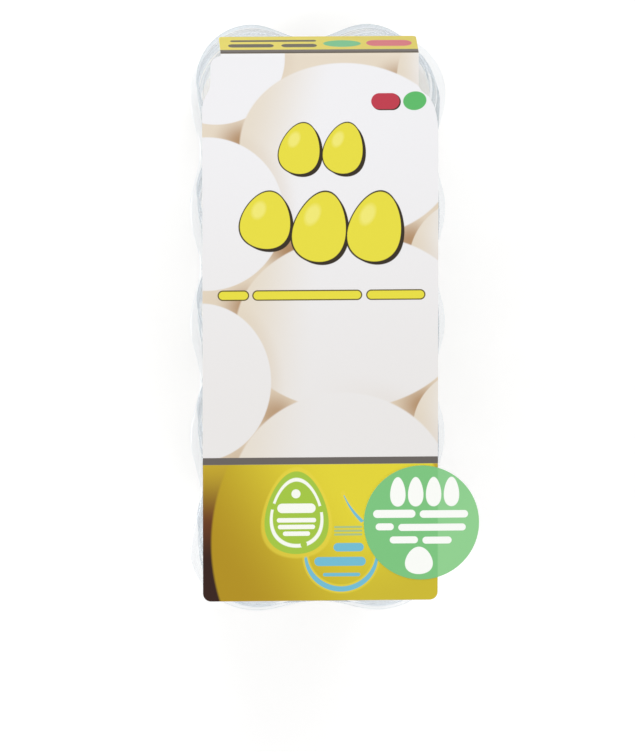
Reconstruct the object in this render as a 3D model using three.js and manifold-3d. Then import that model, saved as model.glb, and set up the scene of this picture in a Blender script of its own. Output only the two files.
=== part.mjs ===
// A shut, clear plastic egg pack with a printed card label, lying with its label up.
// Two layers of eggs stand in it, five rows of two in each, with a moulded tray between the layers.
// Millimetres, +Z up, +Y towards the end where the label folds down.

import * as THREE from 'three'
import { mergeVertices } from 'three/addons/utils/BufferGeometryUtils.js'
import Module from 'manifold-3d'

const wasm = await Module()
wasm.setup()

// Eggs
const eggWidth = 43
const eggLength = 56.2
const eggTaper = 0.13        // how much blunter the upper end is than the lower
const eggSizeSpread = 0.025  // the smallest egg is this share under full size
const rows = 5

// Clear plastic
const wall = 0.8
const gap = 0.35             // left between pieces that rest on each other
const wallRoom = 0.8         // from the side of a full-size egg to the wall beside it
const rimHeight = 95.2
const flangeWidth = 3.2
const endFlangeWidth = 1.4
const draftX = 0.0145        // the cells spread this much for each millimetre of height
const draftY = 0.0125
const flute = 6              // how far the wall draws in between two eggs
const lidFlute = 1

// Cup shape, used by the tub's base and by the tray
const footRadius = 8.5
const cupDepth = 30
const cupPower = 1.5
const cupEdge = 20.8
const ridgeSlope = 1.7
const outerArch = 21
const pillarHeight = 32

// Label and sticker
const card = 0.6
const labelHalfWidth = 46.6
const labelNearEdge = -108.4
const labelCornerRadius = 3.2
const flapLeft = -39.3
const flapRight = 38.7
const flapLength = 18.4
const stickerRadius = 22.9
const stickerThickness = 0.4
const stickerX = 40.1
const stickerY = -77.1

// Heights and places that follow from them
const lowerEggBase = wall + gap
const trayBase = lowerEggBase + eggLength + gap
const upperEggBase = trayBase + wall + gap
const lidTop = upperEggBase + eggLength + gap + wall
const labelBase = lidTop + gap
const eggWaist = 0.55 * eggLength
const outerRadius = eggWidth / 2 + wallRoom + wall
const lidFlangeTop = rimHeight + 2 * wall + gap

// The middle of the corner cell and the distance between rows, at one height
function cellsAt(height) {
  return { columnX: 22.7 + draftX * height, rowPitch: 44.3 + draftY * height }
}
const lowerCells = cellsAt(lowerEggBase + eggWaist)
const upperCells = cellsAt(upperEggBase + eggWaist)
const rimCells = cellsAt(rimHeight)

// One quarter of a fluted outline, from the middle of a long side to the middle of an end
function quarterOutline(cells, side, end, sideFlute, endFlute) {
  const stepsPerRow = 6
  const cornerSteps = 4
  const endSteps = 3
  const lastRow = cells.rowPitch * (rows - 1) / 2
  const drawnIn = (depth, share) => depth * (1 - Math.cos(2 * Math.PI * share)) / 2
  const points = []
  for (let i = 0; i < stepsPerRow * (rows - 1) / 2; i++) {
    const share = i / stepsPerRow
    points.push([cells.columnX + side - drawnIn(sideFlute, share), share * cells.rowPitch])
  }
  for (let i = 0; i < cornerSteps; i++) {
    const angle = i / cornerSteps * Math.PI / 2
    points.push([cells.columnX + side * Math.cos(angle), lastRow + end * Math.sin(angle)])
  }
  for (let i = 0; i <= endSteps; i++) {
    const share = i / endSteps
    points.push([cells.columnX * (1 - share), lastRow + end - drawnIn(endFlute, share / 2)])
  }
  return points
}

// The whole outline, counterclockwise from the middle of the right side
function outline(...sizes) {
  const quarter = quarterOutline(...sizes)
  const back = [...quarter].reverse()
  const turned = (points, signX, signY) => points.slice(0, -1).map(([x, y]) => [signX * x, signY * y])
  return [
    ...turned(quarter, 1, 1),
    ...turned(back, -1, 1),
    ...turned(quarter, -1, -1),
    ...turned(back, 1, -1)
  ]
}

function levelRing(height, ...sizes) {
  return outline(...sizes).map(([x, y]) => new THREE.Vector3(x, y, height))
}

// Height of a cupped floor at a distance from the middle of the nearest cup
function cupHeight(distance, cap) {
  const share = Math.min(Math.max(distance - footRadius, 0), cupEdge - footRadius) / (outerRadius - footRadius)
  const bowl = cupDepth * (1 - Math.pow(1 - Math.pow(share, cupPower), 1 / cupPower))
  return Math.min(bowl + Math.max(distance - cupEdge, 0) * ridgeSlope, cap)
}

// Distance to the nearest cup. The two middle cups share one long foot.
function cupDistance(x, y, cells) {
  const row = Math.max(Math.min(Math.round(y / cells.rowPitch), (rows - 1) / 2), (1 - rows) / 2)
  const fromColumn = row === 0 ? Math.max(Math.abs(x) - cells.columnX, 0) : Math.abs(x) - cells.columnX
  return Math.hypot(fromColumn, y - row * cells.rowPitch)
}

// The rings of a cupped floor, from the line down its middle to the edge of the outer cups
function cuppedFloor(cells, base, pillar) {
  const onFloor = (x, y, cap) => new THREE.Vector3(x, y, base + cupHeight(cupDistance(x, y, cells), cap))
  const middle = outline(cells, 0, 0, 0, 0)
  const spineEnd = cells.rowPitch * (rows - 1) / 2 - cells.columnX / 2
  const rings = []
  for (const share of [0, 0.25, 0.5, 0.75, 1]) {
    rings.push(middle.map(([x, y]) => {
      const spineY = Math.max(Math.min(y, spineEnd), -spineEnd)
      return onFloor(x * share, spineY + (y - spineY) * share, pillar)
    }))
  }
  for (const radius of [footRadius, 13.5, 17.5, cupEdge]) {
    const depth = flute * radius / outerRadius
    rings.push(outline(cells, radius, radius, depth, depth).map(([x, y]) => onFloor(x, y, outerArch)))
  }
  return rings
}

// A closed thin wall. The rings make its outer skin, and a copy set back along the normals its inner one.
function shell(rings, facesUp) {
  const count = rings[0].length
  const corners = []
  for (let level = 0; level < rings.length - 1; level++) {
    for (let i = 0; i < count; i++) {
      const next = (i + 1) % count
      const near = level * count
      const far = near + count
      corners.push(near + i, near + next, far + next, near + i, far + next, far + i)
    }
  }
  const draft = new THREE.BufferGeometry().setFromPoints(rings.flat())
  draft.setIndex(facesUp ? corners.reverse() : corners)
  const skin = mergeVertices(draft, 0.001)
  skin.computeVertexNormals()

  const index = skin.index.array
  const faces = []
  const edges = new Set()
  for (let i = 0; i < index.length; i += 3) {
    const [a, b, c] = index.slice(i, i + 3)
    if (a === b || b === c || c === a) continue
    faces.push([a, b, c])
    for (const edge of [[a, b], [b, c], [c, a]]) edges.add(edge.join(' '))
  }
  const size = skin.attributes.position.count
  const points = []
  const insidePoints = []
  for (let i = 0; i < size; i++) {
    const point = new THREE.Vector3().fromBufferAttribute(skin.attributes.position, i)
    const normal = new THREE.Vector3().fromBufferAttribute(skin.attributes.normal, i)
    points.push(point)
    insidePoints.push(point.clone().addScaledVector(normal, -wall))
  }
  const all = []
  for (const [a, b, c] of faces) {
    all.push(a, b, c, size + a, size + c, size + b)
    for (const [from, to] of [[a, b], [b, c], [c, a]]) {
      if (!edges.has(`${to} ${from}`)) all.push(to, from, size + from, to, size + from, size + to)
    }
  }
  const geometry = new THREE.BufferGeometry().setFromPoints([...points, ...insidePoints])
  geometry.setIndex(all)
  geometry.computeVertexNormals()
  return geometry
}

// The deep tray that holds both layers
function tubGeometry() {
  const rootFillet = 0.4
  const wallFoot = 27
  const topFlute = flute - 1
  const rings = cuppedFloor(lowerCells, 0, pillarHeight)
  rings.push(levelRing(wallFoot, lowerCells, outerRadius, outerRadius, flute, flute))
  rings.push(levelRing(rimHeight - 4 * rootFillet, rimCells, outerRadius, outerRadius, topFlute, topFlute))
  const root = outerRadius + rootFillet
  rings.push(levelRing(rimHeight, rimCells, root, root, topFlute, topFlute))
  rings.push(levelRing(rimHeight, rimCells, root + flangeWidth, root + endFlangeWidth, topFlute - 1, topFlute - 1))
  return shell(rings, false)
}

// The thin moulded tray between the two layers
function dividerGeometry() {
  return shell(cuppedFloor(upperCells, trayBase, pillarHeight - 8), false)
}

// The end wall of the lid leans in from its foot to the edge of the flat top
const lidEdgeFillet = 0.6
const lidTopEnd = 18.2
const lidWallFoot = { height: lidFlangeTop + 0.8, end: outerRadius }
const lidWallTop = { height: lidTop - lidEdgeFillet, end: lidTopEnd + lidEdgeFillet }
const endLean = Math.atan((lidWallFoot.end - lidWallTop.end) / (lidWallTop.height - lidWallFoot.height))

function lidGeometry() {
  const topSide = labelHalfWidth + 0.2 - rimCells.columnX
  const footFlute = flute - 1.5
  const flat = outline(rimCells, topSide, lidTopEnd, lidFlute, lidFlute)
  const spineEnd = rimCells.rowPitch * (rows - 1) / 2
  const spine = flat.map(([, y]) => new THREE.Vector3(0, Math.max(Math.min(y, spineEnd), -spineEnd), lidTop))
  const root = outerRadius + 0.4
  return shell([
    spine,
    flat.map(([x, y]) => new THREE.Vector3(x, y, lidTop)),
    levelRing(lidWallTop.height, rimCells, topSide + lidEdgeFillet / 2, lidWallTop.end, lidFlute, lidFlute),
    levelRing(lidWallFoot.height, rimCells, outerRadius, lidWallFoot.end, footFlute, footFlute),
    levelRing(lidFlangeTop, rimCells, root, root, footFlute, footFlute),
    levelRing(lidFlangeTop, rimCells, root + flangeWidth, root + endFlangeWidth, flute - 2, flute - 2)
  ], true)
}

function toSolid(geometry) {
  const bare = geometry.clone()
  bare.deleteAttribute('normal')
  bare.deleteAttribute('uv')
  const merged = mergeVertices(bare, 0.001)
  return new wasm.Manifold(new wasm.Mesh({
    numProp: 3,
    vertProperties: new Float32Array(merged.attributes.position.array),
    triVerts: new Uint32Array(merged.index.array)
  }))
}

function toGeometry(solid) {
  const mesh = solid.getMesh()
  const geometry = new THREE.BufferGeometry()
  geometry.setAttribute('position', new THREE.BufferAttribute(mesh.vertProperties, 3))
  geometry.setIndex(new THREE.BufferAttribute(mesh.triVerts, 1))
  geometry.computeVertexNormals()
  return geometry
}

// The card lies on the lid and folds down over its far end
function labelGeometry() {
  const endRow = rimCells.rowPitch * (rows - 1) / 2
  const wallLineY = endRow + lidWallTop.end - (labelBase - lidWallTop.height) * Math.tan(endLean)
  const foldY = wallLineY + gap / Math.cos(endLean)
  const farY = foldY + card
  const corner = labelCornerRadius

  const panel = new THREE.Shape()
  panel.moveTo(-labelHalfWidth + corner, labelNearEdge)
  panel.lineTo(labelHalfWidth - corner, labelNearEdge)
  panel.absarc(labelHalfWidth - corner, labelNearEdge + corner, corner, -Math.PI / 2, 0)
  panel.lineTo(labelHalfWidth, 76)
  panel.quadraticCurveTo(labelHalfWidth - 0.4, 88, flapRight + 1.8, 92)
  panel.quadraticCurveTo(flapRight, 93, flapRight, 95.5)
  panel.lineTo(flapRight, farY)
  panel.lineTo(flapLeft, farY)
  panel.lineTo(flapLeft - 2.6, farY - 0.8)
  panel.quadraticCurveTo(flapLeft - 4, farY - 2.5, flapLeft - 4.2, farY - 7)
  panel.quadraticCurveTo(flapLeft - 4.6, 98, flapLeft - 6.3, 95.5)
  panel.quadraticCurveTo(-labelHalfWidth, 93.5, -labelHalfWidth, 89)
  panel.lineTo(-labelHalfWidth, labelNearEdge + corner)
  panel.absarc(-labelHalfWidth + corner, labelNearEdge + corner, corner, Math.PI, Math.PI * 1.5)
  const flat = new THREE.ExtrudeGeometry(panel, { depth: card, bevelEnabled: false, curveSegments: 5 })
  flat.translate(0, 0, labelBase)

  const flapCorner = 1.6
  const flap = new THREE.Shape()
  flap.moveTo(flapLeft, -card)
  flap.lineTo(flapRight, -card)
  flap.lineTo(flapRight, flapLength - flapCorner)
  flap.absarc(flapRight - flapCorner, flapLength - flapCorner, flapCorner, 0, Math.PI / 2)
  flap.absarc(flapLeft + flapCorner, flapLength - flapCorner, flapCorner, Math.PI / 2, Math.PI)
  const hanging = new THREE.ExtrudeGeometry(flap, { depth: card, bevelEnabled: false, curveSegments: 4 })
  const across = new THREE.Vector3(1, 0, 0)
  const down = new THREE.Vector3(0, Math.sin(endLean), -Math.cos(endLean))
  const outward = new THREE.Vector3().crossVectors(across, down)
  hanging.applyMatrix4(new THREE.Matrix4().makeBasis(across, down, outward))
  hanging.translate(0, foldY, labelBase)
  return toGeometry(toSolid(flat).add(toSolid(hanging)))
}

// A thin disc stuck on the label's near right corner, partly past its edge
function stickerGeometry() {
  const disc = new THREE.CylinderGeometry(stickerRadius, stickerRadius, stickerThickness, 48)
  disc.rotateX(Math.PI / 2)
  return disc
}

// An egg standing on its narrower end, its lowest point at the origin
function eggGeometry(width, length) {
  const steps = 9
  const widest = 1 + eggTaper * eggTaper / 2
  const profile = []
  for (let i = 0; i <= steps; i++) {
    const angle = (i / steps - 0.5) * Math.PI
    const radius = width / 2 / widest * Math.cos(angle) * (1 + eggTaper * Math.sin(angle))
    profile.push(new THREE.Vector2(i % steps === 0 ? 0 : radius, length / 2 * (1 + Math.sin(angle))))
  }
  const geometry = new THREE.LatheGeometry(profile, 16)
  geometry.rotateX(Math.PI / 2)
  return geometry
}

const clearPlastic = new THREE.MeshStandardMaterial({
  color: 0xe6eef5, roughness: 0.12, metalness: 0, transparent: true, opacity: 0.3
})
const shellWhite = new THREE.MeshStandardMaterial({ color: 0xf1eee8, roughness: 0.6, metalness: 0 })
const printedCard = new THREE.MeshStandardMaterial({ color: 0xf0efe8, roughness: 0.45, metalness: 0 })
const greenPaper = new THREE.MeshStandardMaterial({ color: 0x7dc87d, roughness: 0.5, metalness: 0 })

function piece(name, geometry, material) {
  const mesh = new THREE.Mesh(geometry, material)
  mesh.name = name
  return mesh
}

// One layer of eggs, each a little different in size and turned its own way
function eggLayer(name, cells, base) {
  const layer = new THREE.Group()
  const own = (number, salt) => 0.5 + 0.5 * Math.sin(number * 12.9898 + salt * 78.233)
  for (let row = 0; row < rows; row++) {
    for (const side of [-1, 1]) {
      const number = 2 * row + (side + 3) / 2
      const width = eggWidth * (1 - eggSizeSpread * own(number, base))
      const length = eggLength * (1 - eggSizeSpread * own(number + 3, base))
      const egg = piece(`${name}_${String(number).padStart(2, '0')}`, eggGeometry(width, length), shellWhite)
      egg.position.set(side * cells.columnX, (row - (rows - 1) / 2) * cells.rowPitch, base)
      egg.rotation.z = number
      layer.add(egg)
    }
  }
  return layer
}

const pack = new THREE.Group()
pack.name = 'egg pack'
pack.add(piece('tub', tubGeometry(), clearPlastic))
pack.add(piece('divider', dividerGeometry(), clearPlastic))
pack.add(piece('lid', lidGeometry(), clearPlastic))
pack.add(piece('label', labelGeometry(), printedCard))
const sticker = piece('sticker', stickerGeometry(), greenPaper)
sticker.position.set(stickerX, stickerY, labelBase + card + gap + stickerThickness / 2)
pack.add(sticker)
pack.add(eggLayer('egg_lower', lowerCells, lowerEggBase))
pack.add(eggLayer('egg_upper', upperCells, upperEggBase))

export default pack
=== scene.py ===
import math

import bmesh
import bpy
import numpy as np
from mathutils import Matrix, Vector


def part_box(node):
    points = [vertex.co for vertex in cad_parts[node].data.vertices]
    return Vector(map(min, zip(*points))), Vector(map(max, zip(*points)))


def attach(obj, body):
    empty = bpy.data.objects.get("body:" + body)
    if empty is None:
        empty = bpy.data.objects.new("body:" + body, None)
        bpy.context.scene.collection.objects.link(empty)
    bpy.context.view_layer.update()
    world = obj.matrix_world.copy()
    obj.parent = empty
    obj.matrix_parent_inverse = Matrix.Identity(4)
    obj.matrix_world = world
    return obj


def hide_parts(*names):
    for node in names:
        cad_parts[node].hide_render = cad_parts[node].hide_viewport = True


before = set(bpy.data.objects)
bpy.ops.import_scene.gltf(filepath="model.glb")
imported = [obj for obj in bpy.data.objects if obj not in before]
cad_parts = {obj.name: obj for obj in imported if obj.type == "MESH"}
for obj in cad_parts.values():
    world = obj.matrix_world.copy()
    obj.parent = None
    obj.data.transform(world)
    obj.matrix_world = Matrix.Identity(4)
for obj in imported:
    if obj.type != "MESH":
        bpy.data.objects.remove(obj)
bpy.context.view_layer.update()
mm = 0.001


# colours and shader maths
def srgb(red, green, blue):   # 0 to 255 as seen on screen, to linear light
    linear = []
    for channel in (red, green, blue):
        share = channel / 255
        linear.append(share / 12.92 if share <= 0.04045 else ((share + 0.055) / 1.055) ** 2.4)
    return (*linear, 1.0)


class Wire:   # one output socket, so that shader maths reads as plain expressions
    def __init__(self, shader, socket):
        self.shader = shader
        self.socket = socket

    def maths(self, operation, *values, clamp=False):
        return self.shader.add("ShaderNodeMath", {"operation": operation, "use_clamp": clamp}, *values)

    def __add__(self, other):
        return self.maths("ADD", self, other)

    def __radd__(self, other):
        return self.maths("ADD", other, self)

    def __sub__(self, other):
        return self.maths("SUBTRACT", self, other)

    def __rsub__(self, other):
        return self.maths("SUBTRACT", other, self)

    def __mul__(self, other):
        return self.maths("MULTIPLY", self, other)

    def __rmul__(self, other):
        return self.maths("MULTIPLY", other, self)

    def __truediv__(self, other):
        return self.maths("DIVIDE", self, other)

    def __pow__(self, other):
        return self.maths("POWER", self, other)

    def size(self):
        return self.maths("ABSOLUTE", self)

    def under(self, edge, blur):       # 1 where the value is under edge, 0 above it
        return self.maths("MULTIPLY_ADD", self, -1.0 / blur, edge / blur + 0.5, clamp=True)

    def part(self, name):              # another output of the same node
        return Wire(self.shader, self.socket.node.outputs[name])


class Shader:   # a material's node tree, with one method that adds any node
    def __init__(self, name):
        self.material = bpy.data.materials.new(name)
        self.material.use_nodes = True
        self.tree = self.material.node_tree
        self.tree.nodes.clear()
        self.output = self.tree.nodes.new("ShaderNodeOutputMaterial")

    def put(self, socket, value):
        if isinstance(value, Wire):
            self.tree.links.new(value.socket, socket)
        else:
            socket.default_value = value

    def add(self, kind, settings, *values, out=0, **named):
        node = self.tree.nodes.new(kind)
        for key, value in settings.items():
            setattr(node, key, value)
        for socket, value in zip(node.inputs, values):
            self.put(socket, value)
        for key, value in named.items():
            self.put(node.inputs[key.replace("_", " ")], value)
        return Wire(self, node.outputs[out])

    def mix(self, factor, below, above):      # colours
        node = self.tree.nodes.new("ShaderNodeMix")
        node.data_type = "RGBA"
        for index, value in ((0, factor), (6, below), (7, above)):
            self.put(node.inputs[index], value)
        return Wire(self, node.outputs[2])

    def vector(self, operation, *values, out=0, **named):
        return self.add("ShaderNodeVectorMath", {"operation": operation}, *values, out=out, **named)

    def smooth(self, value, low, high):       # 0 at low, 1 at high
        soft = {"interpolation_type": "SMOOTHSTEP"}
        return self.add("ShaderNodeMapRange", soft, value, low, high, 0.0, 1.0)

    def noise(self, place, scale, detail=2.0, rough=0.5):
        return self.add("ShaderNodeTexNoise", {}, Vector=place, Scale=scale, Detail=detail, Roughness=rough)

    def bump(self, height, strength, distance):
        return self.add("ShaderNodeBump", {}, Strength=strength, Distance=distance, Height=height)

    def objectPlace(self):
        return self.add("ShaderNodeTexCoord", {}, out=3)

    def principled(self, **named):
        return self.add("ShaderNodeBsdfPrincipled", {}, **named)

    def finish(self, surface):
        self.tree.links.new(surface.socket, self.output.inputs["Surface"])
        return self.material


class FlatPrint:   # plain shapes printed on a flat face, in millimetres
    def __init__(self, shader, place):
        self.shader = shader
        self.place = place
        spot = shader.add("ShaderNodeSeparateXYZ", {}, place)
        self.x = spot.part("X")
        self.y = spot.part("Y")

    def local(self, cx, cy, sizeX=1.0, sizeY=1.0, turn=0.0):
        return self.shader.add(
            "ShaderNodeMapping", {"vector_type": "TEXTURE"}, self.place,
            (cx, cy, 0.0), (0.0, 0.0, math.radians(turn)), (sizeX, sizeY, 1.0))

    def oval(self, cx, cy, rx, ry, turn=0.0):          # 1 on the outline
        return self.shader.vector("LENGTH", self.local(cx, cy, rx, ry, turn), out=1)

    def egg(self, cx, cy, rx, ry, turn=0.0, taper=0.22):    # 1 on the outline, narrower above
        spot = self.shader.add("ShaderNodeSeparateXYZ", {}, self.local(cx, cy, rx, ry, turn))
        v = spot.part("Y")
        u = spot.part("X") * (1 + taper * v)
        return (u * u + v * v) ** 0.5

    def bar(self, cx, cy, halfLength, halfHeight):          # the outline is at halfHeight
        reach = self.shader.vector("ABSOLUTE", self.local(cx, cy))
        reach = self.shader.vector("SUBTRACT", reach, (halfLength - halfHeight, 0.0, 10.0))
        return self.shader.vector("LENGTH", self.shader.vector("MAXIMUM", reach, (0.0, 0.0, 0.0)), out=1)

    def inkBars(self, colour, ink, bars, blur=0.14):
        for cx, cy, halfLength, halfHeight in bars:
            mask = self.bar(cx, cy, halfLength, halfHeight).under(halfHeight, blur)
            colour = self.shader.mix(mask, colour, ink)
        return colour


# sizes shared by the pieces, in millimetres, read from the frame where it has them
def boxInMm(node):
    low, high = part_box(node)
    return Vector(low) / mm, Vector(high) / mm


tubLow, tubHigh = boxInMm("tub")
lidLow, lidHigh = boxInMm("lid")
dividerLow = boxInMm("divider")[0]
labelHigh = boxInMm("label")[1]

pack = {
    "rows": 5,
    "columnX": 22.7, "pitch": 44.3,      # at the foot; the draft widens both with the height
    "draftX": 0.0145, "draftY": 0.0125,
    "wall": 0.8,
    "outerRadius": 23.1,                 # from the middle of a cell to the outside of the wall
    "flute": 6.0,
    "flange": 3.2, "endFlange": 1.4, "flangeFlute": 4.0,
    "rootFillet": 0.4,
    "lowerMiddle": 32.06, "upperMiddle": 89.76,      # heights of the two layers' middles
}


def cellsAt(height):             # the middle of the corner cell across, and the distance between rows
    return pack["columnX"] + pack["draftX"] * height, pack["pitch"] + pack["draftY"] * height


lowerCells = cellsAt(pack["lowerMiddle"])
upperCells = cellsAt(pack["upperMiddle"])
rimHeight = tubHigh.z - pack["wall"]
rimCells = cellsAt(rimHeight)
lidFlangeTop = lidLow.z + pack["wall"]


# fluted outlines round the cells
def outline(cells, side, end, sideFlute, endFlute, steps=32):
    columnX, pitch = cells
    lastRow = pitch * (pack["rows"] - 1) / 2
    cornerSteps = round(steps * 0.8)
    endSteps = steps // 2

    def drawnIn(depth, share):             # the flute's depth between two cells
        return depth * (1 - math.cos(2 * math.pi * share)) / 2

    quarter = []                           # from the middle of a long side to the middle of an end
    for i in range(steps * (pack["rows"] - 1) // 2):
        share = i / steps
        quarter.append((columnX + side - drawnIn(sideFlute, share), share * pitch))
    for i in range(cornerSteps):
        angle = i / cornerSteps * math.pi / 2
        quarter.append((columnX + side * math.cos(angle), lastRow + end * math.sin(angle)))
    for i in range(endSteps + 1):
        share = i / endSteps
        quarter.append((columnX * (1 - share), lastRow + end - drawnIn(endFlute, share / 2)))
    quarter = np.array(quarter)
    back = quarter[::-1]
    return np.concatenate([
        quarter[:-1],
        back[:-1] * (-1, 1),
        quarter[:-1] * (-1, -1),
        back[:-1] * (1, -1),
    ])


def levelRing(height, *sizes):
    flat = outline(*sizes)
    return np.column_stack([flat, np.full(len(flat), height)])


def softStep(value, low, high):            # 0 under low, 1 over high
    share = np.clip((value - low) / (high - low), 0, 1)
    return share * share * (3 - 2 * share)


cup = {
    "foot": 8.5, "depth": 30.0, "power": 1.5,
    "edge": 20.8, "slope": 1.7,                          # past the edge the wall rises at this slope
    "arch": 21.0, "pillar": 32.0, "trayPillar": 24.0,    # how high the ridges between the cups reach
    "ridge": 4.0,                                        # how far under that they start to round
    "footRing": 5.6, "footRise": 0.7, "footBlur": 1.2,   # the small raised middle of each foot
    "floorRings": 19, "bowlRings": 18,
}


def cupHeight(distance, cap):
    reach = np.clip(distance - cup["foot"], 0, cup["edge"] - cup["foot"])
    share = reach / (pack["outerRadius"] - cup["foot"])
    bowl = cup["depth"] * (1 - (1 - share ** cup["power"]) ** (1 / cup["power"]))
    height = bowl + np.maximum(distance - cup["edge"], 0) * cup["slope"]
    ridge = cup["ridge"]
    over = np.maximum(height - cap + ridge, 0)
    rounded = np.where(over < 2 * ridge, height - over * over / (4 * ridge), cap)
    ring, blur = cup["footRing"], cup["footBlur"]
    rise = cup["footRise"] * (1 - softStep(distance, ring - blur, ring + blur))
    return np.minimum(rounded, cap) + rise


def cupDistance(x, y, cells):              # from the nearest cup's middle; the two middle cups share a foot
    columnX, pitch = cells
    half = (pack["rows"] - 1) / 2
    row = np.clip(np.round(y / pitch), -half, half)
    fromColumn = np.abs(x) - columnX
    fromColumn = np.where(row == 0, np.maximum(fromColumn, 0), fromColumn)
    return np.hypot(fromColumn, y - row * pitch)


def cuppedFloor(cells, base, pillar):      # rings from the pack's spine out to the cups' edge
    middle = outline(cells, 0, 0, 0, 0)
    spineEnd = cells[1] * (pack["rows"] - 1) / 2 - cells[0] / 2
    spineY = np.clip(middle[:, 1], -spineEnd, spineEnd)
    rings = []
    for share in np.linspace(0, 1, cup["floorRings"]):
        x = middle[:, 0] * share
        y = spineY + (middle[:, 1] - spineY) * share
        rings.append(np.column_stack([x, y, base + cupHeight(cupDistance(x, y, cells), pillar)]))
    for radius in np.linspace(0, cup["edge"], cup["bowlRings"])[1:]:
        depth = pack["flute"] * radius / pack["outerRadius"]
        flat = outline(cells, radius, radius, depth, depth)
        x, y = flat[:, 0], flat[:, 1]
        rings.append(np.column_stack([x, y, base + cupHeight(cupDistance(x, y, cells), cup["arch"])]))
    return rings


def link(name, mesh):
    piece = bpy.data.objects.new(name, mesh)
    bpy.context.scene.collection.objects.link(piece)
    return piece


def cleanMesh(mesh, near=1e-6):
    work = bmesh.new()
    work.from_mesh(mesh)
    bmesh.ops.remove_doubles(work, verts=work.verts, dist=near)
    bmesh.ops.dissolve_degenerate(work, edges=work.edges, dist=near)
    work.to_mesh(mesh)
    work.free()


def meshFromRings(name, rings, facesUp, material, sharp=None):
    count = len(rings[0])
    faces = []
    for level in range(len(rings) - 1):
        near, far = level * count, (level + 1) * count
        for i in range(count):
            j = (i + 1) % count
            face = (near + i, near + j, far + j, far + i)
            faces.append(face[::-1] if facesUp else face)
    mesh = bpy.data.meshes.new(name)
    mesh.from_pydata((np.concatenate(rings) * mm).tolist(), [], faces)
    cleanMesh(mesh)
    mesh.shade_smooth()
    if sharp:
        mesh.set_sharp_from_angle(angle=math.radians(sharp))
    mesh.materials.append(material)
    return link(name, mesh)


def makePlain(piece):      # bakes the modifiers into the mesh
    graph = bpy.context.evaluated_depsgraph_get()
    finished = bpy.data.meshes.new_from_object(piece.evaluated_get(graph))
    piece.modifiers.clear()
    piece.data = finished
    return piece


# clear thermoformed plastic
plasticLook = {
    "tint": (0.976, 0.984, 0.992, 1.0),
    "edge": srgb(188, 204, 217),           # seen along the sheet, where it looks thicker
    "sheen": (0.98, 0.99, 1.0, 1.0),
    "veil": srgb(206, 211, 216),
    "roughness": 0.05, "veilRoughness": 0.2,
    "waves": 70.0, "waveStrength": 0.3, "waveHeight": 0.0008,
    "shine": (0.07, 0.5, 5.0),             # face on, added along the sheet, and how sharply it rises
    "body": (0.02, 0.3, 3.5),
}


def makeClearPlastic():
    clear = Shader("clearPlastic")
    waves = clear.noise(clear.objectPlace(), plasticLook["waves"])
    ripple = clear.bump(waves, plasticLook["waveStrength"], plasticLook["waveHeight"])
    facing = clear.add("ShaderNodeLayerWeight", {}, 0.5, ripple, out=1)
    faceOn, along, power = plasticLook["shine"]
    steep = facing ** power
    shine = faceOn + along * steep
    faceOn, along, power = plasticLook["body"]
    body = faceOn + along * facing ** power
    film = clear.add(
        "ShaderNodeMixShader", {}, steep,
        clear.add("ShaderNodeBsdfTransparent", {}, plasticLook["tint"]),
        clear.add("ShaderNodeBsdfTransparent", {}, plasticLook["edge"]))
    gloss = clear.add(
        "ShaderNodeBsdfGlossy", {}, plasticLook["sheen"], plasticLook["roughness"], Normal=ripple)
    veil = clear.principled(
        Base_Color=plasticLook["veil"], Roughness=plasticLook["veilRoughness"], Normal=ripple)
    seen = clear.add("ShaderNodeMixShader", {}, shine, film, gloss)
    return clear.finish(clear.add("ShaderNodeMixShader", {}, body, seen, veil))


clearPlastic = makeClearPlastic()

tubLook = {
    "wallFoot": 27.0, "wallRings": 84, "topFlute": 5.0,
    "ledgeHeight": 74.0, "ledge": 0.8, "ledgeBlur": 1.4,     # the wall steps out here, at the upper eggs
    "hoops": (44.0, 50.0, 56.0), "hoop": 0.55, "hoopHeight": 1.5,
    "fillet": ((0.5, 0.1), (0.12, 0.35)),                    # down from the flange, and out from the wall
    "roll": ((0, 2.6), (0, 0.7), (0.08, 0.35), (0.35, 0.08), (1.3, 0)),     # down, and in from its edge
}


def wallStep(height):      # how far the wall stands in from its plain line
    ledge, blur = tubLook["ledgeHeight"], tubLook["ledgeBlur"]
    inward = tubLook["ledge"] * (1 - softStep(height, ledge - blur, ledge + blur))
    for hoop in tubLook["hoops"]:
        away = abs(height - hoop) / tubLook["hoopHeight"]
        inward += tubLook["hoop"] * max(1 - away * away, 0)
    return inward


def flangeRings(height, roll):             # the flange, rolled over and down at its edge
    root = pack["outerRadius"] + pack["rootFillet"]
    side, end, flute = root + pack["flange"], root + pack["endFlange"], pack["flangeFlute"]
    return [levelRing(height - down, rimCells, side - inward, end - inward * 0.4, flute, flute)
            for down, inward in roll]


def buildTub():
    radius = pack["outerRadius"]
    topFlute = tubLook["topFlute"]
    rings = cuppedFloor(lowerCells, tubLow.z, cup["pillar"])
    wallTop = rimHeight - 4 * pack["rootFillet"]
    for height in np.linspace(tubLook["wallFoot"], wallTop, tubLook["wallRings"]):
        share = (height - tubLook["wallFoot"]) / (wallTop - tubLook["wallFoot"])
        columnX = lowerCells[0] + (rimCells[0] - lowerCells[0]) * share
        pitch = lowerCells[1] + (rimCells[1] - lowerCells[1]) * share
        out = radius - wallStep(height)
        depth = pack["flute"] + (topFlute - pack["flute"]) * share
        rings.append(levelRing(height, (columnX, pitch), out, out, depth, depth))
    for down, outward in tubLook["fillet"]:
        out = radius + outward
        rings.append(levelRing(rimHeight - down, rimCells, out, out, topFlute, topFlute))
    rings += flangeRings(rimHeight, tubLook["roll"])
    return meshFromRings("tubShell", rings, False, clearPlastic, sharp=50)


tub = buildTub()
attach(tub, "root")
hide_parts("tub")

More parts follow.
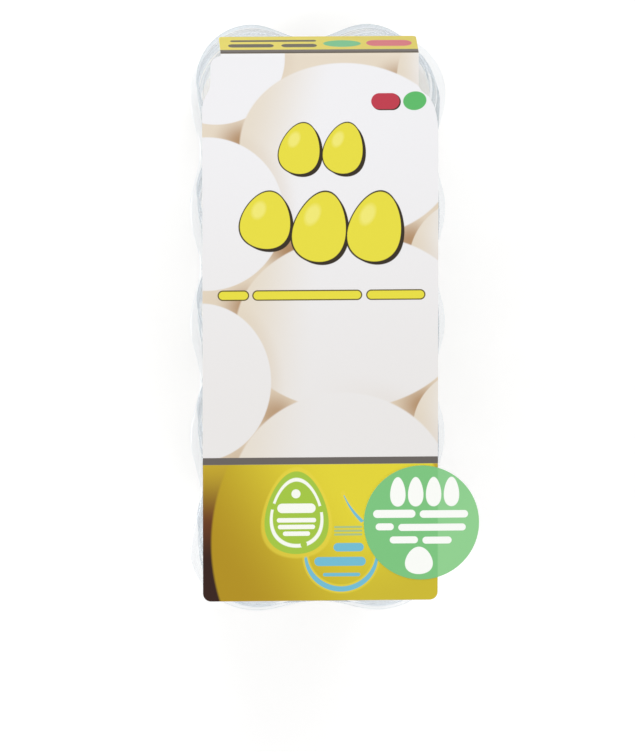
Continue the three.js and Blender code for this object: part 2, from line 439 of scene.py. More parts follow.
divider = meshFromRings(
    "dividerShell", cuppedFloor(upperCells, dividerLow.z, cup["trayPillar"]), False, clearPlastic, sharp=50)
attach(divider, "root")
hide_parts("divider")
print("tub and tray built")

lidLook = {
    "topHalf": 46.8, "topEnd": 18.2, "edge": 0.6, "topFlute": 1.0, "footFlute": 4.5, "wallRings": 22,
    "panelInset": 3.0, "panelDrop": 0.45,      # the flat panel that carries the label lies a little lower
    "insets": (34.0, 22.0, 12.0, 6.0, 3.0, 2.0, 1.0, 0.0),
    "fillet": 0.2,
    "roll": ((0, 2.2), (0, 0.6), (0.06, 0.3), (0.3, 0.06), (0.9, 0)),
}


def buildLid():
    top = lidHigh.z
    topSide = lidLook["topHalf"] - rimCells[0]
    topEnd, topFlute = lidLook["topEnd"], lidLook["topFlute"]
    flat = outline(rimCells, topSide, topEnd, topFlute, topFlute)
    spineEnd = rimCells[1] * (pack["rows"] - 1) / 2
    spineY = np.clip(flat[:, 1], -spineEnd, spineEnd)
    rings = []
    fullReach = topSide + rimCells[0]
    for inset in (fullReach, *lidLook["insets"]):
        share = 1 - inset / fullReach
        x = flat[:, 0] * share
        y = spineY + (flat[:, 1] - spineY) * share
        drop = lidLook["panelDrop"] if inset >= lidLook["panelInset"] else 0.0
        rings.append(np.column_stack([x, y, np.full(len(flat), top - drop)]))
    edge = lidLook["edge"]
    radius, footFlute = pack["outerRadius"], lidLook["footFlute"]
    for turn in (30, 60):                      # the round edge between the top and the wall
        angle = math.radians(turn)
        side = topSide + edge / 2 * math.sin(angle)
        end = topEnd + edge * math.sin(angle)
        height = top - edge * (1 - math.cos(angle))
        rings.append(levelRing(height, rimCells, side, end, topFlute, topFlute))
    wallTop = (top - edge, topSide + edge / 2, topEnd + edge, topFlute)
    wallFoot = (lidFlangeTop + pack["wall"], radius, radius, footFlute)
    for share in np.linspace(0, 1, lidLook["wallRings"]):
        height, side, end, depth = (a + (b - a) * share for a, b in zip(wallTop, wallFoot))
        rings.append(levelRing(height, rimCells, side, end, depth, depth))
    root = radius + pack["rootFillet"] + lidLook["fillet"]
    rings.append(levelRing(lidFlangeTop, rimCells, root, root, footFlute, footFlute))
    rings += flangeRings(lidFlangeTop, lidLook["roll"])
    return meshFromRings("lidShell", rings, True, clearPlastic, sharp=50)


lid = buildLid()
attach(lid, "root")
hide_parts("lid")
print("lid built")


# lock buttons and stiffening ribs, set out by geometry nodes
class Geometry:   # a geometry node tree whose sizes are named inputs
    def __init__(self, name, **sizes):
        self.tree = bpy.data.node_groups.new(name, "GeometryNodeTree")
        self.entry = self.tree.nodes.new("NodeGroupInput")
        self.exit = self.tree.nodes.new("NodeGroupOutput")
        self.identifiers = {}
        for key in sizes:
            socket = self.tree.interface.new_socket(key, in_out="INPUT", socket_type="NodeSocketFloat")
            self.identifiers[key] = socket.identifier
        self.tree.interface.new_socket("Geometry", in_out="OUTPUT", socket_type="NodeSocketGeometry")
        self.sizes = sizes

    def size(self, key):
        return self.entry.outputs[key]

    def add(self, kind, settings, *values, out=0, **named):
        node = self.tree.nodes.new(kind)
        for key, value in settings.items():
            setattr(node, key, value)
        pairs = list(zip(node.inputs, values))
        pairs += [(node.inputs[key.replace("_", " ")], value) for key, value in named.items()]
        for socket, value in pairs:
            if isinstance(value, bpy.types.NodeSocket):
                self.tree.links.new(value, socket)
            else:
                socket.default_value = value
        return node.outputs[out]

    def maths(self, operation, *values, clamp=False):
        return self.add("ShaderNodeMath", {"operation": operation, "use_clamp": clamp}, *values)

    def join(self, *parts):
        node = self.tree.nodes.new("GeometryNodeJoinGeometry")
        for part in parts:
            self.tree.links.new(part, node.inputs[0])
        return node.outputs[0]

    def build(self, name, shape, material):
        real = self.add("GeometryNodeRealizeInstances", {}, shape)
        painted = self.add("GeometryNodeSetMaterial", {}, real, Material=material)
        self.tree.links.new(painted, self.exit.inputs[0])
        piece = link(name, bpy.data.meshes.new(name))
        modifier = piece.modifiers.new(name, "NODES")
        modifier.node_group = self.tree
        for key, value in self.sizes.items():
            modifier[self.identifiers[key]] = value
        return makePlain(piece)


def hollowPoints(shape, shift):     # one point in each hollow between the rows, on both sides
    lines = []
    first = shape.maths("ADD", shape.maths("MULTIPLY", shape.size("Pitch"), -1.5), shift)
    step = shape.add("ShaderNodeCombineXYZ", {}, 0.0, shape.size("Pitch"), 0.0)
    for sign in (-1.0, 1.0):
        x = shape.maths("MULTIPLY", shape.size("Side"), sign)
        start = shape.add("ShaderNodeCombineXYZ", {}, x, first, shape.size("Level"))
        lines.append(shape.add(
            "GeometryNodeMeshLine", {}, Count=pack["rows"] - 1, Start_Location=start, Offset=step))
    return lines


buttonLook = {"radius": 2.1, "height": 0.95, "fromEdge": 2.7, "sunk": 0.05, "around": 20, "rings": 12}
ribLook = {
    "radius": 0.75, "low": 33.0, "high": 71.0, "apart": 5.2, "proud": 0.3, "around": 12, "stations": 25,
    "taper": 12.0, "tip": 0.15,        # how fast the ends thin out, and to what share of the girth
}


def buildButtons():
    side = (rimCells[0] + pack["outerRadius"] + pack["rootFillet"] + pack["flange"]
            - pack["flangeFlute"] - buttonLook["fromEdge"])
    shape = Geometry(
        "buttonRow", Radius=buttonLook["radius"] * mm, Height=buttonLook["height"] * mm,
        Side=side * mm, Pitch=rimCells[1] * mm, Level=(lidFlangeTop - buttonLook["sunk"]) * mm)
    dome = shape.add(
        "GeometryNodeMeshUVSphere", {}, buttonLook["around"], buttonLook["rings"], shape.size("Radius"))
    flat = shape.maths("DIVIDE", shape.size("Height"), shape.size("Radius"))
    squash = shape.add("ShaderNodeCombineXYZ", {}, 1.0, 1.0, flat)
    dome = shape.add("GeometryNodeTransform", {}, dome, Scale=squash)
    dome = shape.add("GeometryNodeSetShadeSmooth", {}, dome)
    places = shape.join(*hollowPoints(shape, 0.0))
    placed = shape.add("GeometryNodeInstanceOnPoints", {}, places, Instance=dome)
    return shape.build("lockButtons", placed, clearPlastic)


def buildRibs():          # upright ribs in the hollows of the tub's wall
    middle = (ribLook["low"] + ribLook["high"]) / 2
    cells = cellsAt(middle)
    side = cells[0] + pack["outerRadius"] - tubLook["ledge"] - pack["flute"] + ribLook["proud"]
    shape = Geometry(
        "ribRow", Radius=ribLook["radius"] * mm, Length=(ribLook["high"] - ribLook["low"]) * mm,
        Side=side * mm, Pitch=cells[1] * mm, Level=middle * mm, Apart=ribLook["apart"] * mm)
    half = shape.maths("DIVIDE", shape.size("Length"), 2.0)
    start = shape.add("ShaderNodeCombineXYZ", {}, 0.0, 0.0, shape.maths("MULTIPLY", half, -1.0))
    stop = shape.add("ShaderNodeCombineXYZ", {}, 0.0, 0.0, half)
    axis = shape.add("GeometryNodeCurvePrimitiveLine", {}, Start=start, End=stop)
    axis = shape.add("GeometryNodeResampleCurve", {}, axis, Count=ribLook["stations"])
    along = shape.add("GeometryNodeSplineParameter", {})
    taper = shape.maths("MULTIPLY", shape.maths("PINGPONG", along, 0.5), ribLook["taper"], clamp=True)
    taper = shape.maths("MAXIMUM", taper, ribLook["tip"])
    girth = shape.maths("MULTIPLY", taper, shape.size("Radius"))
    axis = shape.add("GeometryNodeSetCurveRadius", {}, axis, Radius=girth)
    ring = shape.add("GeometryNodeCurvePrimitiveCircle", {}, ribLook["around"], Radius=1.0)
    rod = shape.add("GeometryNodeCurveToMesh", {}, axis, ring, Fill_Caps=True)
    if "Scale" in rod.node.inputs:
        shape.tree.links.new(girth, rod.node.inputs["Scale"])
    rod = shape.add("GeometryNodeSetShadeSmooth", {}, rod)
    places = []
    for share in (-0.5, 0.5):
        places += hollowPoints(shape, shape.maths("MULTIPLY", shape.size("Apart"), share))
    placed = shape.add("GeometryNodeInstanceOnPoints", {}, shape.join(*places), Instance=rod)
    return shape.build("tubRibs", placed, clearPlastic)


for piece in (buildButtons(), buildRibs()):
    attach(piece, "root")
print("buttons and ribs built")


# eggs
eggLook = {
    "around": 56, "along": 40, "taper": 0.13,
    "lump": 0.0022,                            # no two eggs are quite round
    "clouds": 36.0, "pores": 1800.0, "pits": 850.0, "specks": 420.0,
}


def makeEggshell():
    egg = Shader("eggshell")
    place = egg.objectPlace()
    cloud = egg.noise(place, eggLook["clouds"], 3.0)
    pores = egg.noise(place, eggLook["pores"])
    pits = egg.add(
        "ShaderNodeTexVoronoi", {"feature": "SMOOTH_F1"}, Vector=place, Scale=eggLook["pits"])
    specks = egg.add("ShaderNodeTexVoronoi", {}, Vector=place, Scale=eggLook["specks"])
    colour = egg.mix(egg.smooth(cloud, 0.35, 0.7), srgb(246, 244, 240), srgb(236, 231, 222))
    colour = egg.mix(specks.under(0.12, 0.08) * 0.25, colour, srgb(222, 214, 200))
    grain = egg.bump(pores * 0.4 + pits * 0.6, 0.4, 0.00014)
    return egg.finish(egg.principled(
        Base_Color=colour, Roughness=0.46 + cloud * 0.14, Normal=grain,
        Subsurface_Weight=0.1, Subsurface_Radius=(0.004, 0.003, 0.002), Subsurface_Scale=0.5))


eggshell = makeEggshell()


def buildEgg(node):
    low, high = boxInMm(node)
    middle = (low + high) / 2
    height = high.z - low.z
    width = max(high.x - low.x, high.y - low.y)
    around, along = eggLook["around"], eggLook["along"]
    taper = eggLook["taper"]
    seed = sum(ord(letter) * (i + 1) for i, letter in enumerate(node))
    widest = 1 + taper * taper / 2
    turn = np.arange(around) / around * 2 * math.pi
    rings = []
    for i in range(along + 1):
        angle = (i / along - 0.5) * math.pi
        radius = width / 2 / widest * math.cos(angle) * (1 + taper * math.sin(angle))
        lump = np.sin(2 * turn + seed) * math.sin(angle * 2 + seed) - 1
        radius = radius * (1 + eggLook["lump"] * lump)
        z = low.z + height / 2 * (1 + math.sin(angle))
        rings.append(np.column_stack([
            middle.x + radius * np.cos(turn), middle.y + radius * np.sin(turn), np.full(around, z)]))
    return meshFromRings(node.replace("egg_", "shell_"), rings, False, eggshell)


eggNodes = sorted(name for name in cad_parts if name.startswith("egg_"))
for node in eggNodes:
    egg = buildEgg(node)
    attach(egg, "root")
    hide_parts(node)
print("eggs built:", len(eggNodes))


# card label
labelLook = {
    "halfWidth": 46.6, "nearEdge": -108.4, "corner": 3.2, "flapLeft": -39.3, "flapRight": 38.7,
    "flapLength": 18.4, "flapCorner": 1.6, "card": 0.5, "foldRadius": 1.2, "gap": 0.08, "across": 44,
    "solidCard": 0.6, "shorter": 0.2,        # the solid's thickness, and how much shorter this flap is
    "leftCurve": (89.0, 98.5),               # where the left shoulder's curve starts and ends
    "rightCurve": (74.0, 21.0, 2.6),         # the right one's start, length and power
    "step": 4.0,                             # the small round step just before the fold
    "wave": 0.09, "uvSpan": 100.0,
}
wallRun = pack["outerRadius"] - lidLook["topEnd"] - lidLook["edge"]
wallDrop = lidHigh.z - lidLook["edge"] - lidFlangeTop - pack["wall"]
lean = math.atan(wallRun / wallDrop)         # the flap lies along the lid's end wall
foldTurn = math.pi / 2 - lean
foldRun = labelLook["foldRadius"] * math.tan(foldTurn / 2)      # from the bend's start to the sharp corner
foldArc = labelLook["foldRadius"] * foldTurn
foldY = labelHigh.y - labelLook["solidCard"] * math.cos(lean) - labelLook["flapLength"] * math.sin(lean)
bendStart = foldY - foldRun
flapStart = bendStart + foldArc
flapEnd = flapStart + labelLook["flapLength"] - foldRun - labelLook["shorter"]


def cornerPull(fromEnd, radius):       # how far a round corner stands in at this distance from the end
    if fromEnd >= radius:
        return 0.0
    return radius - math.sqrt(max(radius ** 2 - (radius - fromEnd) ** 2, 0))


def labelEdges(y):                     # the flat card's left and right edge
    half, step = labelLook["halfWidth"], labelLook["step"]
    pull = cornerPull(y - labelLook["nearEdge"], labelLook["corner"])
    left, right = -half + pull, half - pull
    if y > bendStart:
        pull = cornerPull(flapEnd - y, labelLook["flapCorner"])
        return labelLook["flapLeft"] + pull, labelLook["flapRight"] - pull
    shoulder = labelLook["flapLeft"] - step
    start, end = labelLook["leftCurve"]
    if y > start:
        left = -half + (half + shoulder) * float(softStep(y, start, end))
    if y > bendStart - step:
        share = (y - bendStart + step) / step
        left = shoulder + step * (1 - math.sqrt(max(1 - share * share, 0)))
    start, length, power = labelLook["rightCurve"]
    if y > start:
        share = min((y - start) / length, 1)
        right = half - (half - labelLook["flapRight"]) * (1 - math.sqrt(1 - share ** power))
    return left, right


def labelPlace(x, y):                  # from the flat card to its place on the lid
    bottom = lidHigh.z + labelLook["gap"]
    bend = labelLook["foldRadius"]
    past = y - bendStart
    if past <= 0:
        wave = labelLook["wave"] * math.sin(x / 17 + y / 29) * math.sin(y / 41)
        return x, y, bottom + abs(wave)
    if past <= foldArc:
        turn = past / bend
        return x, bendStart + bend * math.sin(turn), bottom - bend * (1 - math.cos(turn))
    rest = past - foldArc
    return (
        x,
        bendStart + bend * math.sin(foldTurn) + rest * math.cos(foldTurn),
        bottom - bend * (1 - math.cos(foldTurn)) - rest * math.sin(foldTurn),
    )


def buildLabel(material, edgeMaterial):
    near, corner, step = labelLook["nearEdge"], labelLook["corner"], labelLook["step"]
    flapCorner = labelLook["flapCorner"]
    stops = [near + corner * (1 - math.cos(math.radians(a))) for a in range(0, 91, 10)]
    stops += list(np.arange(near + corner + 2, bendStart - step, 2.0))
    stops += [bendStart - step + step * math.sin(math.radians(a)) for a in range(0, 90, 15)]
    stops += list(np.linspace(bendStart, flapStart, 9))
    stops += list(np.linspace(flapStart, flapEnd - flapCorner, 10)[1:])
    stops += [flapEnd - flapCorner + flapCorner * math.sin(math.radians(a)) for a in range(15, 91, 15)]
    across, uvSpan = labelLook["across"], labelLook["uvSpan"]
    verts, flat, faces = [], [], []
    for y in stops:
        left, right = labelEdges(y)
        for i in range(across + 1):
            x = left + (right - left) * i / across
            verts.append(Vector(labelPlace(x, y)) * mm)
            flat.append((x / uvSpan, y / uvSpan))
    width = across + 1
    for row in range(len(stops) - 1):
        for i in range(across):
            a = row * width + i
            faces.append((a, a + 1, a + width + 1, a + width))
    mesh = bpy.data.meshes.new("labelCard")
    mesh.from_pydata(verts, [], faces)
    layer = mesh.uv_layers.new(name="print")
    for loop in mesh.loops:
        layer.data[loop.index].uv = flat[loop.vertex_index]
    mesh.materials.append(material)
    mesh.materials.append(edgeMaterial)
    mesh.shade_smooth()
    piece = link("labelCard", mesh)
    thick = piece.modifiers.new("card", "SOLIDIFY")
    thick.thickness = labelLook["card"] * mm
    thick.offset = 1.0
    thick.material_offset_rim = 1
    thick.material_offset = 1
    thick.use_even_offset = True
    makePlain(piece)
    piece.data.set_sharp_from_angle(angle=math.radians(50))
    return piece


ink = {
    "yellow": srgb(231, 221, 62),
    "paleYellow": srgb(246, 240, 140),
    "brown": srgb(48, 38, 22),
    "grey": srgb(103, 97, 93),
    "tan": srgb(172, 132, 92),
    "sand": srgb(229, 217, 199),
    "beige": srgb(228, 217, 199),
    "green": srgb(162, 198, 62),
    "white": srgb(248, 250, 242),
    "blue": srgb(112, 188, 212),
    "red": srgb(190, 56, 74),
    "leaf": srgb(92, 186, 104),
}

# the printed heap of eggs: middle, half sizes, turn, and how much of the egg lies in shade
heapLook = [
    (50.0, 99.0, 20.0, 25.0, 0, 0.95), (-41.0, 108.5, 27.0, 26.5, 0, 0.25), (11.0, 71.5, 43.0, 34.5, -6, 0.9),
    (60.0, 27.0, 25.0, 25.0, 0, 1.0), (-45.0, 46.5, 30.5, 30.5, 8, 0.2), (12.5, 3.0, 46.0, 34.5, 5, 1.0),
    (-47.5, -20.5, 28.0, 31.5, 0, 0.2), (60.0, -40.0, 23.5, 24.0, 0, 0.95), (8.5, -68.0, 44.5, 43.0, 0, 0.75),
]

# the brown places where printed eggs meet, which fade outwards: middle, and how brown
heapTips = [
    (31.0, 97.5, 1.0), (-30.5, 74.5, 1.0), (-12.5, 32.5, 1.0), (35.5, 35.0, 1.0),
    (-28.5, 9.0, 1.0), (-18.5, -33.5, 0.8), (41.0, -30.5, 1.0), (-32.0, -52.0, 0.3),
]


def printHeap(page):
    card = page.shader
    # the gaps and the white of the printed eggs turn a little darker towards the near end
    nearer = card.smooth(page.y, 100.0, -50.0)
    colour = card.mix(nearer, ink["sand"], srgb(222, 207, 185))
    for cx, cy, brown in heapTips:
        colour = card.mix(card.smooth(page.oval(cx, cy, 14.0, 12.0), 1.0, 0.05) * brown, colour, ink["tan"])
    white = card.mix(nearer, srgb(240, 240, 243), srgb(233, 231, 230))
    for cx, cy, rx, ry, turn, shade in heapLook:
        near = page.oval(cx, cy, rx, ry, turn)
        spot = card.add("ShaderNodeSeparateXYZ", {}, page.local(cx, cy, rx, ry, turn))
        shadow = card.smooth(near, 1.22, 0.98) * card.smooth(spot.part("X"), -0.4, 1.0)
        colour = card.mix(shadow * 0.2, colour, srgb(206, 184, 156))
        side = spot.part("Y") * 0.12 - spot.part("X")
        rim = card.smooth(side, 0.28, 1.02) * shade
        face = card.mix(rim, white, ink["beige"])
        colour = card.mix(near.under(1.0, 0.016), colour, face)
    return colour


def printShadowed(page, colour, shapes):      # yellow eggs with a dark drop shadow
    card = page.shader
    turn = -12
    for cx, cy, rx, ry in shapes:
        drop = page.egg(cx + 1.2, cy - 1.1, rx, ry, turn).under(1.0, 0.02)
        colour = card.mix(drop, colour, ink["brown"])
        face = page.egg(cx, cy, rx, ry, turn)
        colour = card.mix(face.under(1.03, 0.02), colour, ink["brown"])
        colour = card.mix(face.under(0.985, 0.02), colour, ink["yellow"])
        light = page.oval(cx - rx * 0.3, cy + ry * 0.34, rx * 0.26, ry * 0.3, turn - 14)
        colour = card.mix(light.under(1.0, 0.5) * 0.6, colour, ink["paleYellow"])
    return colour


def printBand(page):       # the yellow band with its big egg, and what lies on it
    card = page.shader
    warm = card.mix(card.smooth(page.y, -50.0, -78.0), srgb(198, 170, 36), srgb(108, 56, 12))
    warm = card.mix(card.smooth(page.y, -70.0, -94.0), warm, srgb(46, 14, 2))
    light = card.smooth(page.x + page.y * 0.6, -96.0, -26.0)
    yolk = card.mix(light, srgb(176, 142, 10), srgb(226, 212, 48))
    dim = card.smooth(page.oval(46.0, -108.0, 62.0, 34.0), 1.0, 0.2)
    yolk = card.mix(dim * 0.65, yolk, srgb(190, 168, 36))
    band = card.mix(page.oval(4.1, -85.3, 47.4, 60.8).under(1.0, 0.02), warm, yolk)
    soft = card.mix(0.6, yolk, srgb(232, 214, 66))

    # drop: a half ring that thins out upwards, a curved stem and short bars
    ring = (page.oval(8.3, -89.6, 14.2, 14.2) - 1.0).size()
    lower = page.y.under(-86.5, 3.0)
    width = card.smooth(page.y, -88.0, -103.0) * 0.04 + 0.034
    stem = (page.oval(37.7, -54.2, 30.8, 30.8) - 1.0).size()
    stemSpan = page.bar(12.8, -71.6, 7.0, 6.0).under(6.0, 0.3)
    stemWidth = card.smooth(page.y, -64.0, -78.0) * 0.018 + 0.004
    band = card.mix(ring.under(width + 0.055, 0.03) * lower, band, soft)
    glowSpan = page.bar(12.4, -71.2, 8.2, 7.2).under(7.2, 0.6)
    band = card.mix(stem.under(stemWidth + 0.024, 0.012) * glowSpan, band, soft)
    band = card.mix(ring.under(width, 0.014) * lower, band, ink["blue"])
    band = card.mix(stem.under(stemWidth, 0.008) * stemSpan, band, ink["blue"])
    band = page.inkBars(band, srgb(170, 194, 134), [(11.0, y, 5.6, 0.42) for y in (-78.9, -80.4, -81.9)])
    band = page.inkBars(band, ink["blue"], [
        (11.2, -87.0, 6.0, 1.7), (7.8, -92.7, 10.2, 1.8), (8.4, -98.0, 7.4, 0.7)])

    # egg badge: a broken white ring with short bars
    badge = page.egg(-9.45, -73.0, 12.3, 16.6, 0, 0.26)
    band = card.mix(badge.under(1.1, 0.05), band, soft)
    band = card.mix(badge.under(1.0, 0.02), band, ink["green"])
    ring = (badge - 0.8).size().under(0.045, 0.02)
    for cx, cy in ((-18.9, -70.4), (0.2, -71.6), (-6.6, -85.8)):
        ring = ring * (1 - page.oval(cx, cy, 1.3, 1.3).under(1.0, 0.1))
    band = card.mix(ring, band, ink["white"])
    band = page.inkBars(band, ink["white"], [
        (-9.5, -71.2, 7.6, 1.9), (-9.5, -76.0, 7.8, 0.9), (-9.5, -78.7, 7.4, 0.9), (-9.5, -81.4, 5.4, 0.9)])
    return card.mix(page.oval(-9.7, -65.4, 1.8, 1.8).under(1.0, 0.1), band, ink["white"])


def makePrint():
    card = Shader("labelPrint")
    uv = card.add("ShaderNodeUVMap", {"uv_map": "print"})
    page = FlatPrint(card, card.vector("SCALE", uv, Scale=labelLook["uvSpan"]))

    colour = printHeap(page)
    colour = printShadowed(page, colour, [
        (-8.0, 72.4, 7.9, 10.3), (9.2, 72.4, 7.7, 10.3),
        (-21.4, 44.0, 9.8, 11.6), (0.0, 41.2, 10.4, 14.2), (21.8, 41.2, 10.4, 14.2)])
    line = [(-34.4, 14.0, 5.9, 1.75), (-5.2, 14.0, 21.4, 1.75), (29.8, 14.0, 11.4, 1.75)]
    colour = page.inkBars(colour, srgb(96, 84, 34), [(x, y, a + 0.35, b + 0.35) for x, y, a, b in line])
    colour = page.inkBars(colour, ink["yellow"], [(x, y, a - 0.15, b - 0.15) for x, y, a, b in line])

    # small plain shapes near the far right corner
    colour = page.inkBars(colour, ink["brown"], [(26.0, 90.6, 5.7, 3.3)])
    colour = page.inkBars(colour, ink["red"], [(25.6, 90.9, 5.6, 3.2)])
    colour = card.mix(page.oval(37.2, 91.0, 4.6, 3.7, 8).under(1.0, 0.05), colour, ink["leaf"])

    colour = card.mix(page.y.under(-53.6, 0.1), colour, printBand(page))
    colour = card.mix((page.y + 52.2).size().under(1.4, 0.12), colour, ink["grey"])

    # flap
    start = (bendStart + flapStart) / 2
    flap = card.mix(card.smooth(page.x, -40.0, 40.0), srgb(224, 209, 80), srgb(214, 197, 74))
    flap = page.inkBars(flap, srgb(88, 82, 62), [
        (-27.0, start + 7.6, 9.0, 1.9), (-8.0, start + 7.6, 7.0, 1.9), (-18.0, start + 13.0, 17.0, 1.0)])
    flap = card.mix(page.oval(9.0, start + 9.6, 7.4, 3.8).under(1.0, 0.05), flap, srgb(104, 184, 128))
    flap = page.inkBars(flap, srgb(206, 100, 108), [(27.6, start + 10.0, 9.0, 3.4)])
    colour = card.mix(1 - page.y.under(start, 0.1), colour, flap)
    # a dark grey line along the fold, from the middle of the bend onto the flap
    colour = card.mix((page.y - start - 1.5).size().under(1.5, 0.12), colour, srgb(98, 90, 84))

    fibre = card.noise(page.place, 1.4, 3.0)
    fine = card.noise(page.place, 7.0, 2.0)
    surface = card.bump(fibre * 0.6 + fine * 0.4, 0.12, 0.0002)
    return card.finish(card.principled(
        Base_Color=colour, Roughness=0.38 + fibre * 0.12, Normal=surface,
        Specular_IOR_Level=0.3, Coat_Weight=0.05, Coat_Roughness=0.22))


def makeCardEdge():
    edge = Shader("cardEdge")
    place = edge.objectPlace()
    fibre = edge.noise(place, 900.0, 3.0)
    colour = edge.mix(fibre, srgb(226, 222, 212), srgb(244, 242, 236))
    rough = edge.bump(fibre, 0.3, 0.0001)
    return edge.finish(edge.principled(Base_Color=colour, Roughness=0.8, Normal=rough))


label = buildLabel(makePrint(), makeCardEdge())
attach(label, "root")
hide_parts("label")
print("label built")


# round sticker
stickerLook = {
    "radius": 22.9, "x": 40.1, "y": -77.3, "thickness": 0.3, "around": 128,
    "marks": srgb(250, 252, 248), "underside": srgb(236, 240, 234),
    "lift": 0.1,                             # clears the card's slight waves
}
stickerBase = lidHigh.z + labelLook["gap"] + labelLook["card"] + stickerLook["lift"]


def makeStickerPrint():       # the print is on the top face alone
    paper = Shader("stickerPrint")
    place = paper.vector("SCALE", paper.objectPlace(), Scale=1000.0)
    place = paper.vector("SUBTRACT", place, (stickerLook["x"], stickerLook["y"], 0.0))
    place = paper.vector("MULTIPLY", place, (1.0, 1.0, 0.0))
    page = FlatPrint(paper, place)
    marks = stickerLook["marks"]
    overCard = page.x.under(labelLook["halfWidth"] - stickerLook["x"], 0.5)
    colour = paper.mix(paper.smooth(page.x - page.y, -24.0, 24.0), srgb(134, 203, 138), srgb(142, 208, 142))
    colour = paper.mix(overCard, colour, srgb(120, 196, 124))
    for cx in (-9.4, -2.3, 4.8, 11.9):
        colour = paper.mix(page.egg(cx, 12.4, 3.0, 5.9, 0, 0.2).under(1.0, 0.05), colour, marks)
    colour = page.inkBars(colour, marks, [
        (-10.8, 3.6, 8.4, 1.6), (8.9, 3.4, 9.6, 1.5), (-14.6, -1.6, 3.6, 1.4), (4.2, -1.9, 13.4, 1.4),
        (-7.0, -6.9, 5.6, 1.4), (6.2, -7.1, 5.8, 1.4)])
    colour = paper.mix(page.egg(-1.0, -15.2, 5.4, 5.5).under(1.0, 0.03), colour, marks)
    height = paper.add("ShaderNodeSeparateXYZ", {}, paper.objectPlace()).part("Z") * 1000.0
    below = height.under(stickerBase + stickerLook["thickness"] * 2 / 3, 0.05)
    colour = paper.mix(below, colour, stickerLook["underside"])
    grain = paper.noise(place, 1.6, 3.0)
    return paper.finish(paper.principled(
        Base_Color=colour, Roughness=0.42 + grain * 0.1,
        Normal=paper.bump(grain * 0.3 + overCard * 0.7, 0.12, 0.0002)))


def buildSticker():
    radius = stickerLook["radius"]
    low = stickerBase
    high = low + stickerLook["thickness"]
    turn = np.arange(stickerLook["around"]) / stickerLook["around"] * 2 * math.pi

    def ring(r, z):
        return np.column_stack([
            stickerLook["x"] + r * np.cos(turn), stickerLook["y"] + r * np.sin(turn), np.full(len(turn), z)])

    steps = np.linspace(0, radius, 10)
    rings = [ring(r, high) for r in steps] + [ring(r, low) for r in steps[::-1]]
    return meshFromRings("stickerDisc", rings, True, makeStickerPrint(), sharp=40)


sticker = buildSticker()
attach(sticker, "root")
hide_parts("sticker")
print("sticker built")


# floor, light and camera
studio = {
    "floor": 6.0, "floorLevel": -0.0002, "floorGlow": 0.22, "floorTones": (0.9, 0.93),
    "worldLow": 0.48, "worldHigh": 0.69, "worldRise": 0.7, "worldColour": (1.0, 0.993, 0.985, 1.0),
    "aim": (0, 0, 0.06), "clearLayers": 32,
    "boxes": [
        ("farSoftbox", (0.2, 1.3, 1.5), (1.4, 0.8), 10.5),
        ("leftSoftbox", (-1.4, -0.2, 1.0), (0.5, 1.6), 7.0),
        ("nearFill", (0.7, -1.4, 0.8), (1.0, 0.5), 4.0),
    ],
}


def makeFloor():
    floor = Shader("floorPaper")
    soft = floor.noise(floor.objectPlace(), 30.0)
    colour = floor.mix(soft, *[(tone, tone, tone, 1.0) for tone in studio["floorTones"]])
    material = floor.finish(floor.principled(
        Base_Color=colour, Roughness=0.9, Emission_Color=(1, 1, 1, 1), Emission_Strength=studio["floorGlow"]))
    size, low = studio["floor"], studio["floorLevel"]
    mesh = bpy.data.meshes.new("floor")
    corners = [(-size, -size, low), (size, -size, low), (size, size, low), (-size, size, low)]
    mesh.from_pydata(corners, [], [(0, 1, 2, 3)])
    mesh.materials.append(material)
    link("floor", mesh)


def addSoftbox(name, place, size, watts):
    lamp = bpy.data.lights.new(name, "AREA")
    lamp.shape = "RECTANGLE"
    lamp.size, lamp.size_y = size
    lamp.energy = watts
    holder = link(name, lamp)
    holder.location = place
    holder.rotation_euler = (Vector(studio["aim"]) - Vector(place)).to_track_quat("-Z", "Y").to_euler()


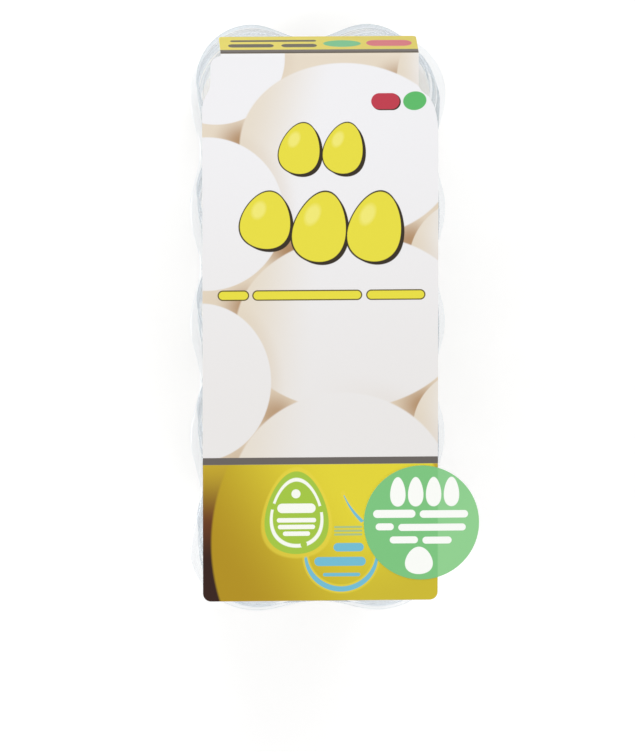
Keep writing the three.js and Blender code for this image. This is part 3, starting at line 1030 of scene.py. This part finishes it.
def makeWorld():          # a little darker low down, so that clear edges show
    world = bpy.data.worlds.new("softRoom")
    world.use_nodes = True
    nodes, links = world.node_tree.nodes, world.node_tree.links
    spot = nodes.new("ShaderNodeTexCoord")
    split = nodes.new("ShaderNodeSeparateXYZ")
    rise = nodes.new("ShaderNodeMapRange")
    for index, value in enumerate((0.0, studio["worldRise"], studio["worldLow"], studio["worldHigh"])):
        rise.inputs[index + 1].default_value = value
    links.new(spot.outputs["Generated"], split.inputs[0])
    links.new(split.outputs["Z"], rise.inputs[0])
    links.new(rise.outputs[0], nodes["Background"].inputs["Strength"])
    nodes["Background"].inputs["Color"].default_value = studio["worldColour"]
    bpy.context.scene.world = world


makeFloor()
for name, place, size, watts in studio["boxes"]:
    addSoftbox(name, place, size, watts)
makeWorld()
bpy.context.scene.view_settings.view_transform = "Standard"
bpy.context.scene.cycles.transparent_max_bounces = studio["clearLayers"]

# the photo's frame: the label's middle and scale in its pixels, and how the camera leans, in degrees
photo = {
    "width": 636, "height": 752, "pixelsPerMm": 2.53, "labelX": 320.5, "labelY": 328.0,
    "distance": 3500.0, "leanFar": 8.5, "leanLeft": 3.0, "sensor": 36.0,
}


def addCamera():
    labelMiddle = (foldY + labelLook["nearEdge"]) / 2
    scale = photo["pixelsPerMm"]
    target = Vector((
        (photo["width"] / 2 - photo["labelX"]) / scale,
        labelMiddle - (photo["height"] / 2 - photo["labelY"]) / scale,
        labelHigh.z,
    ))
    left, far = (math.tan(math.radians(photo[key])) for key in ("leanLeft", "leanFar"))
    back = Vector((-left, far, 1.0)).normalized()
    up = (Vector((0, 1, 0)) - back * back.y).normalized()
    right = up.cross(back)
    lens = bpy.data.cameras.new("photoCamera")
    lens.sensor_width = photo["sensor"]
    lens.lens = photo["sensor"] * photo["distance"] * scale / photo["height"]
    lens.clip_start, lens.clip_end = 0.1, 30.0
    camera = link("photoCamera", lens)
    camera.location = (target + back * photo["distance"]) * mm
    camera.rotation_euler = Matrix((right, up, back)).transposed().to_euler()
    bpy.context.scene.camera = camera


addCamera()
print("stage set")
